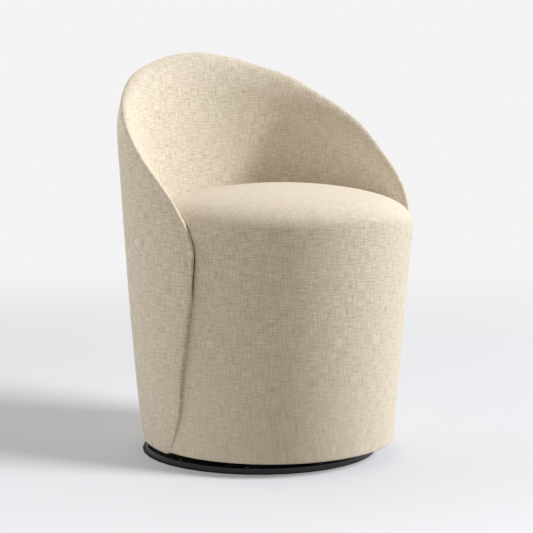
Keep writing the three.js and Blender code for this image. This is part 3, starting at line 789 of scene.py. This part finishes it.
# %% Folds of the seat
def barrel_depth(points):
    """Angle round the barrel, and depth under its face: how far the share of the ring's radius
    falls short of 1, times the mean of its half sizes."""
    half_width, half_depth, forward = barrel_ring(points[..., 2])
    x = points[..., 0] / half_width
    y = (points[..., 1] + forward) / half_depth
    angle = np.arctan2(x, y)
    depth = (1 - np.hypot(x, y)) * (half_width + half_depth) / 2
    return angle, depth + flank_swell(angle, points[..., 2])


def side_angles(seam_angle, even):
    """Angles of the front columns, from the seam to the middle of the front, and of the rear
    ones, from the seam to the middle of the back. even spreads them for the crown."""
    front = seam_angle + (np.pi - seam_angle) * front_shares
    rear = seam_angle * (1 - rear_shares)
    total = len(front_shares) + tuck_columns + len(rear_shares) - 1
    even_front = np.pi * (1 - np.arange(len(front_shares))[::-1] / total)
    even_rear = np.pi * np.arange(len(rear_shares))[::-1] / total
    return front + (even_front - front) * even, rear + (even_rear - rear) * even


def turn_in(points, angle, seam_angle):
    """Front points near the seam sink by a quarter round: one less the root of 1 - gap squared."""
    gap = np.clip(1 - (angle - seam_angle) * mean_radius / edge_turn, 0, 1)
    sink = edge_turn * fold_share(points[..., 2]) * (1 - np.sqrt(1 - gap ** 2))
    shrink = 1 - sink / mean_radius
    middle = np.array([0, -drum_set_forward, 0])
    sunk = middle + (points - middle) * shrink[..., None]
    sunk[..., 2] = points[..., 2]
    return sunk


def against_wall(points):
    """Rear points stay inside the back's padding, and drop by a quarter round close to it."""
    angle, depth = barrel_depth(points)
    limit = wall_thickness(angle, points[..., 2]) + cushion_gap
    close = np.clip(1 - (depth - limit) / rear_tuck, 0, 1)
    height = points[..., 2] - rear_tuck * (1 - np.sqrt(1 - close ** 2))
    pressed = barrel_point(angle, height, np.maximum(depth, limit))
    inside = (depth > limit)[..., None]
    lowered = np.stack([points[..., 0], points[..., 1], height], axis=-1)
    return np.where(inside, lowered, pressed)


def join_tuck(front, rear):
    """The columns between the last front one and the first rear one."""
    steps = np.linspace(0, 1, tuck_columns + 2)[1:-1, None]
    between = front[..., :1, :] + (rear[..., :1, :] - front[..., :1, :]) * steps
    return np.concatenate([rear[..., ::-1, :], between[..., ::-1, :], front], axis=-2)


behind = against_wall(seat_point(np.zeros(1), 1.0))[0]
print("behind, the cushion ends", round(float(behind[1]), 3), "m back from the swivel axis")

# %% [markdown]
# The rows are of three kinds: rings of the crown out to its rounded edge, rows that go down the
# cushion under it, and rows down the front, whose rear ends are tucked in beside the shell.

# %% Rows of the seat
even_shares = (0.80, 0.95)
seam_search_start = 0.44
seam_search_share = fine_share + 0.06
seam_search_rounds = 6


def crown_row(share):
    """One row of the seat's top, from the middle of the back round to the middle of the front.
    The seam's angle and the seat's height there depend on each other, so they are found by turns."""
    seam_angle = seam_drum_angle(seam_search_start)
    for _ in range(seam_search_rounds):
        height = seat_point(seam_angle, max(share, seam_search_share))[2]
        seam_angle = seam_drum_angle(height)
    even = 1 - smoothstep(share, *even_shares)
    front_angle, rear_angle = side_angles(seam_angle, even)
    front = turn_in(seat_point(front_angle, share), front_angle, seam_angle)
    rear = against_wall(seat_point(rear_angle, share))
    return join_tuck(front, rear)


def skirt_row(step):
    """One row under the seat's edge, on the way down to the foot of the cushion."""
    edge = edge_height(np.pi / 2)
    seam_angle = seam_drum_angle(edge + (skirt_foot - edge) * step)
    front_angle, rear_angle = side_angles(seam_angle, 0)
    front_height = edge_height(front_angle) + (skirt_foot - edge_height(front_angle)) * step
    rear_height = edge_height(rear_angle) + (skirt_foot + rear_tuck - edge_height(rear_angle)) * step
    front = turn_in(drum_point(front_angle, front_height, 0), front_angle, seam_angle)
    return join_tuck(front, against_wall(drum_point(rear_angle, rear_height, 0)))


def front_row(height, depth=0):
    """One row of the front, below the cushion: its tuck goes straight in beside the shell."""
    seam_angle = seam_drum_angle(height)
    front_angle, rear_angle = side_angles(seam_angle, 0)
    front = turn_in(drum_point(front_angle, height, depth), front_angle, seam_angle)
    rear = drum_point(rear_angle, height, depth + edge_turn + edge_tuck)
    return join_tuck(front, rear)


print("points in each row, on one side:", len(crown_row(fine_share)))

# %% [markdown]
# All rows in a stack make the grid of one half, and the other half is its mirror image. The middle
# of the crown closes in one point. Below the cushion only the front goes on.

# %% Seat and front cover
skirt_steps = np.linspace(0, 1, 6)[1:]
hem_line = hem_height + hem_turn
front_heights = np.linspace(skirt_foot, hem_line, int((skirt_foot - hem_line) / column_spacing))[1:]
hem_angles = np.radians([22, 45, 68, 90])
hem_heights = hem_line - hem_turn * np.sin(hem_angles)
hem_depths = hem_turn * (1 - np.cos(hem_angles))
upper = [crown_row(share) for share in seat_shares[::-1]] + [skirt_row(s) for s in skirt_steps]
lower = [front_row(height) for height in front_heights] \
    + [front_row(h, d) for h, d in zip(hem_heights, hem_depths)] + [front_row(hem_height, hem_tuck)]
half = np.array(upper + lower)
mirror = half[:, -2:0:-1] * [-1, 1, 1]
ring = np.concatenate([half, mirror], axis=1)

rows, columns = ring.shape[:2]
pole = seat_point(np.zeros(1), 0.0)
points = np.vstack([ring.reshape(-1, 3), pole])
index = numbered(rows, columns)
pole_row = np.full((1, columns), rows * columns)
top_rows = len(upper)
tuck_start = len(rear_shares)
panel = slice(tuck_start, columns - tuck_start + 1)
cap = quads(np.vstack([index[:1], pole_row]), around=True)
cells = np.vstack([
    cap,
    quads(index[:top_rows], around=True)[:, ::-1],
    quads(index[top_rows - 1:, panel])[:, ::-1]])
print("seat and front:", rows, "rows of", columns, "points")

# %% [markdown]
# A flat cloth cannot be wrapped over a round seat without its threads drifting apart, so one map
# cannot serve the whole piece. The front has a map that measures round the drum and down it, the
# top has one seen from above, and a share kept with each point changes from one to the other
# round the edge, where the eye expects the weave to bend.

# %% Cloth measure of the seat
front_fall = (0.25, 0.85)
front_ring = (0.80, 0.95)

from_front = np.arctan2(ring[..., 0], -(ring[..., 1] + drum_set_forward))
drum_radius = (drum_half_width_top + drum_half_depths[1]) / 2
middle_column = len(half[0]) - 1
spans = np.linalg.norm(np.diff(ring[:, middle_column], axis=0), axis=1)
cloth_run = np.concatenate([[0], np.cumsum(spans)])[:, None]
front_cloth = np.stack([from_front * drum_radius, -cloth_run + 0 * from_front], axis=-1)
top_cloth = ring[..., :2] + [0, drum_set_forward]
radius_share = np.hypot(ring[..., 0], ring[..., 1] + drum_set_forward) / drum_radius
from_rear = np.pi - np.abs(from_front)
edge_drop = drop_at(from_rear)
below_edge = np.clip((edge_height(from_rear) + edge_drop - ring[..., 2]) / edge_drop, 0, 1)
front_share = smoothstep(below_edge, *front_fall) * smoothstep(radius_share, *front_ring)


def with_pole(grid, value):
    """A grid's values as a list, and the pole's after them."""
    return np.vstack([grid.reshape(rows * columns, -1), value])


seat_cover = thicken(make_piece("seat_and_front_linen", points, cells, {
    "weave": with_pole(front_cloth, [[0, 0]]),
    "weave_top": with_pole(top_cloth, [[0, 0]]),
}, {"front_share": with_pole(front_share, [[0]])}), cloth_thickness)

# %% [markdown]
# The cloth is a plain weave of slubby linen-look yarns, cream with tan and olive flecks. Each yarn
# has its own tone, which changes slowly along it, so short dashes show where it lies on top. Real
# yarns are under a millimetre thick. At this distance they would blur away, so they are drawn
# 2.3 mm apart here, about one pixel, which is as coarse as the weave shows in the photograph.

# %% Linen
yarn_spacing = 2.3 * mm
yarn_height = 0.3 * mm
yarn_relief = 0.8
slub_length = 11
weft_start = 31.7
tone_span = (0.28, 0.72)
cloth_light = "#FEFBF6"
cloth_dark = "#CCC2AE"
top_contrast = 0.6
cloth_pink = "#FFF8F4"
cloth_green = "#F9FBF3"
tint_patches_per_metre = 14.0


def weave(tree, uv_name):
    """Tone and height of the yarns on one UV map, in metres: warp runs up, weft across, and the
    sign of sin(x) sin(y) says which one lies on top."""
    place = node(tree, "UVMap", uv_map=uv_name).outputs[0]
    yarns = node(tree, "VectorMath", {0: place, "Scale": 1 / yarn_spacing}, operation="SCALE")
    tones = []
    for stretch, start in (((1, 1 / slub_length, 1), 0), ((1 / slub_length, 1, 1), weft_start)):
        stretched = node(tree, "Mapping", {
            "Vector": yarns.outputs[0], "Location": (start, start, 0), "Scale": stretch})
        noise = node(tree, "TexNoise", {
            "Vector": stretched.outputs[0], "Scale": 1.0, "Detail": 2.0, "Roughness": 0.6},
            noise_dimensions="2D")
        tones.append(noise.outputs["Fac"])
    turns = node(tree, "VectorMath", {0: yarns, "Scale": math.pi}, operation="SCALE")
    waves = node(tree, "VectorMath", {0: turns}, operation="SINE")
    wave = node(tree, "SeparateXYZ", {0: waves}).outputs
    over = node(tree, "Math", {0: wave[0], 1: wave[1]}, operation="MULTIPLY")
    over = node(tree, "MapRange", {"Value": over, "From Min": -0.5, "From Max": 0.5})
    humps = node(tree, "VectorMath", {0: waves}, operation="ABSOLUTE")
    hump = node(tree, "SeparateXYZ", {0: humps}).outputs
    tone = node(tree, "Mix", {0: over, 2: tones[1], 3: tones[0]})
    height = node(tree, "Mix", {0: over, 2: hump[1], 3: hump[0]})
    return tone, height


def linen(name, front_only=True):
    """The cloth, on one map, or on two that change over along the piece's own share."""
    # Undyed linen-look yarn is matt. Loose fibre ends give it a faint sheen where light grazes it.
    made, tree, shader = new_material(name, roughness=0.88, sheen_weight=0.25, sheen_roughness=0.3,
                                      specular_ior_level=0.25)
    tone, height = weave(tree, "weave")
    if not front_only:
        top_tone, top_height = weave(tree, "weave_top")
        top_tone = node(tree, "Mix", {0: top_contrast, 2: 0.5, 3: top_tone})
        share = node(tree, "Attribute", attribute_name="front_share").outputs["Fac"]
        tone = node(tree, "Mix", {0: share, 2: top_tone, 3: tone})
        height = node(tree, "Mix", {0: share, 2: top_height, 3: height})
    where = node(tree, "TexCoord").outputs["Object"]
    patches = node(tree, "TexNoise", {
        "Vector": where, "Scale": tint_patches_per_metre, "Detail": 3.0})
    tint = node(tree, "Mix", {
        0: patches.outputs["Fac"], 6: linear(cloth_pink), 7: linear(cloth_green)}, data_type="RGBA")
    spread_tone = node(tree, "MapRange", {
        "Value": tone, "From Min": tone_span[0], "From Max": tone_span[1]})
    yarn_colour = node(tree, "Mix", {
        0: spread_tone, 6: linear(cloth_dark), 7: linear(cloth_light)}, data_type="RGBA")
    colour = node(tree, "Mix", {0: 1.0, 6: yarn_colour.outputs[2], 7: tint.outputs[2]},
                  data_type="RGBA", blend_type="MULTIPLY")
    bump = node(tree, "Bump", {
        "Height": height, "Strength": yarn_relief, "Distance": yarn_height})
    tree.links.new(colour.outputs[2], shader.inputs["Base Color"])
    tree.links.new(bump.outputs[0], shader.inputs["Normal"])
    return made


linen_cloth = linen("woven_linen_cloth")
linen_over_edge = linen("woven_linen_cloth_over_edge", front_only=False)
print("linen:", len(linen_cloth.node_tree.nodes), "nodes, over the edge:",
      len(linen_over_edge.node_tree.nodes))

# %% [markdown]
# Each cover turns with the chair, and stands for its own CAD cover and for the padding under it,
# which it follows everywhere.

# %% Dress the covers
cover_rows = [
    (outer_cover, linen_cloth, ["outer_back_cover", "back_wadding"]),
    (inner_cover, linen_cloth, ["inner_back_cover", "back_foam"]),
    (seat_cover, linen_over_edge, ["seat_cover", "seat_foam", "front_wadding"]),
]
for piece, material, replaced in cover_rows:
    piece.data.materials.append(material)
    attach(piece, "chair")
    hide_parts(*replaced)
    print(piece.name, "stands for", *replaced)

# %% [markdown]
# A thin black cloth closes the bottom of the chair, so that no dust falls out of it and nobody
# looks into it. It is stapled flat to the underside of the bottom board, with a round opening for
# the bearing. Its edge follows the inside of the frame: the bent back behind, the drum in front.

# %% Black cloth underneath
dust_height = 30.8 * mm
dust_thickness = 0.5 * mm
dust_opening = 0.130
dust_inset_front = 16.3 * mm
dust_inset_rear = 12.5 * mm
dust_ripple = 0.15 * mm
dust_waves = 7
dust_steps = 240
dust_rings = 12
dust_seam_turn = math.radians(95)
dust_blend = math.radians(6)


def reach(turn, half_width, half_depth, forward):
    """How far a line from the swivel axis runs to an ellipse whose middle is set forward: the
    larger root of a r squared + 2 b r + c = 0."""
    a = (np.sin(turn) / half_width) ** 2 + (np.cos(turn) / half_depth) ** 2
    b = forward * np.cos(turn) / half_depth ** 2
    c = (forward / half_depth) ** 2 - 1
    return (np.sqrt(b ** 2 - a * c) - b) / a


turn = np.linspace(-math.pi, math.pi, dust_steps, endpoint=False)
half_width, half_depth, forward = barrel_ring(dust_height)
rear_edge = reach(turn, half_width - dust_inset_rear, half_depth - dust_inset_rear, forward)
half_width, half_depth = drum_ring(dust_height)
front_edge = reach(turn, half_width - dust_inset_front, half_depth - dust_inset_front,
                   drum_set_forward)
in_front = smoothstep(np.abs(turn), dust_seam_turn - dust_blend, dust_seam_turn + dust_blend)
edge = rear_edge + (front_edge - rear_edge) * in_front
outward = np.linspace(0, 1, dust_rings)[:, None]
radius = dust_opening + (edge - dust_opening) * outward
ripple = dust_ripple * np.sin(dust_waves * turn) * np.sin(np.pi * outward)
points = np.stack([radius * np.sin(turn), radius * np.cos(turn), dust_height + ripple], axis=-1)
dust_cloth = thicken(make_piece(
    "stapled_dust_cloth", points, quads(numbered(*radius.shape), around=True)), dust_thickness)
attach(dust_cloth, "chair")
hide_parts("dust_cloth")

# %% [markdown]
# The base is a round plate of 10 mm steel, turned on a lathe and powder coated in satin black. Its
# edge lies a little further forward than the bore for the swivel's bolt. Ten button screws stand
# in a ring near its edge. Both are outlines of radius and height carried round an upright axis. A
# screw's socket has six sides, so its radius grows towards the six corners.

# %% Turned pieces
disc_forward = 6.0 * mm
forward_radii = (0.05, 0.20)


def lathe(name, outline, steps, centre=(0, 0), start=0, forward=0):
    """An outline of radius, height and share of a hexagon, turned round an axis. A hexagon's
    radius is 1 / cosine of the angle from the middle of its nearest side. forward moves the wide
    part of a piece. Ends on the axis close in one point, and another outline is closed."""
    if outline[0][0] > 0:
        outline = np.vstack([outline, outline[:1]])
    turn = np.linspace(0, 2 * math.pi, steps, endpoint=False)
    hexagon = 1 / np.cos(turn % (math.pi / 3) - math.pi / 6)
    radius = outline[:, :1] * (1 + outline[:, 2:] * (hexagon - 1))
    x = centre[0] + radius * np.cos(turn + start)
    y = centre[1] + radius * np.sin(turn + start) - forward * smoothstep(radius, *forward_radii)
    points = np.stack(np.broadcast_arrays(x, y, outline[:, 1:2]), axis=-1)
    index = numbered(len(outline), steps)
    for end in (0, -1):
        if outline[end, 0] == 0:
            index[end] = index[end, 0]
    if outline[0, 0] > 0:
        index[-1] = index[0]
    return make_piece(name, points, quads(index, around=True))


def rounded(corners, radius, steps=6, flat_reach=1.6):
    """Every corner of a closed outline becomes a small curve: (1 - t) squared times the point
    before it, plus 2 t (1 - t) times the corner, plus t squared times the point after it. One
    more point on each side, flat_reach radii away, keeps the flats flat to the light."""
    before = np.roll(corners, 1, axis=0) - corners
    after = np.roll(corners, -1, axis=0) - corners
    before *= radius / np.linalg.norm(before, axis=1, keepdims=True)
    after *= radius / np.linalg.norm(after, axis=1, keepdims=True)
    t = np.linspace(0, 1, steps)[:, None, None]
    curve = corners + before * (1 - t) ** 2 + after * t ** 2
    first = corners[None] + before * flat_reach
    last = corners[None] + after * flat_reach
    curve = np.concatenate([first, curve, last])
    curve = curve.transpose(1, 0, 2).reshape(-1, 2)
    return np.column_stack([curve, np.zeros(len(curve))])


# %% [markdown]
# The plate's edges have a small rounding, which catches the light as a thin line. The screws stand
# a little proud of it, each turned by another amount, as a driver leaves them.

# %% Base plate and its screws
disc_bottom = 2.3 * mm
disc_top = 12.3 * mm
disc_radius = 225.4 * mm
disc_edge_round = 1.2 * mm
bolt_bore = 6.3 * mm
bolt_head_bore = 11.3 * mm
bolt_head_top = 7.3 * mm
rim_screw_count = 10
rim_screw_circle = 218.4 * mm
rim_screw_turn = math.radians(-4)
socket_turn = 0.9
disc_steps = 192
screw_steps = 36
screw_profile = np.array([
    [0, -7.0, 0], [2.1, -7.0, 0], [2.3, -6.7, 0], [2.3, 0.3, 0], [4.7, 0.3, 0], [5.0, 0.5, 0],
    [5.0, 1.0, 0], [4.9, 1.6, 0], [4.6, 2.3, 0], [4.1, 2.95, 0], [3.4, 3.45, 0], [2.7, 3.7, 0],
    [2.2, 3.8, 0.3], [1.75, 3.8, 1], [1.6, 3.65, 1], [1.6, 2.0, 1], [1.5, 1.9, 1], [0, 1.7, 1]])

plate_corners = np.array([
    [bolt_head_bore, disc_bottom], [disc_radius, disc_bottom], [disc_radius, disc_top],
    [bolt_bore, disc_top], [bolt_bore, bolt_head_top], [bolt_head_bore, bolt_head_top]])
base_plate = lathe("turned_base_plate", rounded(plate_corners, disc_edge_round), disc_steps,
                   forward=disc_forward)
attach(base_plate, "base")
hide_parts("base_disc")

rim_screws = []
for number in range(rim_screw_count):
    turn = rim_screw_turn + 2 * math.pi * number / rim_screw_count
    centre = (rim_screw_circle * math.sin(turn), -rim_screw_circle * math.cos(turn) - disc_forward)
    outline = screw_profile * [mm, mm, 1] + [0, disc_top, 0]
    screw = lathe(f"button_screw_{number + 1}", outline, screw_steps, centre, socket_turn * number)
    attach(screw, "base")
    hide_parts(f"rim_screw_{number + 1}")
    rim_screws.append(screw)

# %% [markdown]
# The other finishes are plain materials with a fine grain, so one function makes them all: a noise
# of the right grain size moves the tone between two colours, the roughness a little round its
# value, and the height by a few hundredths of a millimetre. Wood is the same with the grain drawn
# out along the plank. Where the real grain is too fine to show, it is drawn a little coarser.

# %% Finishes of the hard parts
grain_span = (0.3, 0.7)
rough_spread = 0.2
grain_relief = 0.6


def grained(name, light, dark, grain, height, stretch=(1, 1, 1), **settings):
    """Tone, roughness and height follow one noise, whose blotches are one grain across."""
    made, tree, shader = new_material(name, **settings)
    place = node(tree, "TexCoord").outputs["Object"]
    grains = node(tree, "Mapping", {"Vector": place, "Scale": [s / grain for s in stretch]})
    noise = node(tree, "TexNoise", {"Vector": grains, "Scale": 1.0, "Detail": 3.0})
    shown = node(tree, "MapRange", {
        "Value": noise, "From Min": grain_span[0], "From Max": grain_span[1]})
    colour = node(tree, "Mix", {0: shown, 6: linear(dark), 7: linear(light)}, data_type="RGBA")
    rough = node(tree, "MapRange", {
        "Value": noise,
        "To Min": settings["roughness"] * (1 - rough_spread),
        "To Max": settings["roughness"] * (1 + rough_spread)})
    bump = node(tree, "Bump", {"Height": noise, "Strength": grain_relief, "Distance": height})
    tree.links.new(colour.outputs[2], shader.inputs["Base Color"])
    tree.links.new(rough.outputs[0], shader.inputs["Roughness"])
    tree.links.new(bump.outputs[0], shader.inputs["Normal"])
    return made


grain_length = 0.03
along_x = (grain_length, 1, 1)
upright = (1, 1, grain_length)
finishes = {
    # Powder baked on steel has a satin skin with a faint orange peel.
    "black_steel": grained("satin_black_powder_coated_steel", "#1B1B1C", "#131314", 1.6 * mm,
                           0.03 * mm, roughness=0.42),
    # Moulded rubber is dull, and dust makes it a little grey.
    "rubber": grained("moulded_black_rubber", "#222222", "#191919", 1.2 * mm, 0.05 * mm,
                      roughness=0.8),
    # Zinc from a plating bath is a dull blue-grey with a soft shine.
    "zinc_steel": grained("zinc_plated_steel", "#C9CDD1", "#AEB3B8", 2.5 * mm, 0.02 * mm,
                          metallic=1.0, roughness=0.38),
    # Ground and polished balls are almost mirrors.
    "ball_steel": grained("polished_bearing_steel", "#DEDFE1", "#CFD0D3", 2.0 * mm, 0.001 * mm,
                          metallic=1.0, roughness=0.12),
    # Undyed nylon is a warm white that lets a little light in.
    "nylon": grained("moulded_natural_nylon", "#E6E2D6", "#D9D4C6", 1.5 * mm, 0.02 * mm,
                     roughness=0.45),
    # Sanded birch ply shows fine straight grain along the sheet.
    "birch_plywood": grained("sanded_birch_plywood", "#DCC59B", "#C4A877", 1.8 * mm, 0.05 * mm,
                             stretch=along_x, roughness=0.6),
    # Planed pine has broader, darker lines up the post.
    "pine": grained("planed_pine", "#E3C795", "#C49A5E", 4.0 * mm, 0.06 * mm, stretch=upright,
                    roughness=0.62),
    # Pressed fibres without a weave look matt and slightly mottled.
    "black_cloth": grained("black_nonwoven_cloth", "#1C1C1D", "#101011", 1.4 * mm, 0.12 * mm,
                           roughness=0.95),
}
print("finishes:", *finishes)

# %% [markdown]
# Every CAD node came in with a material named after its slot, so each is given the finish of that
# name. The plate, its screws and the dust cloth were made here, and get theirs one by one.

# %% Dress the hard parts
for piece in [base_plate, *rim_screws]:
    piece.data.materials.append(finishes["black_steel"])
dust_cloth.data.materials.append(finishes["black_cloth"])
for name, part in nodes.items():
    slot_name = part.material_slots[0].material.name.split(".")[0]
    if slot_name in finishes:
        part.material_slots[0].material = finishes[slot_name]
    print(name, slot_name, end="; ")
print()
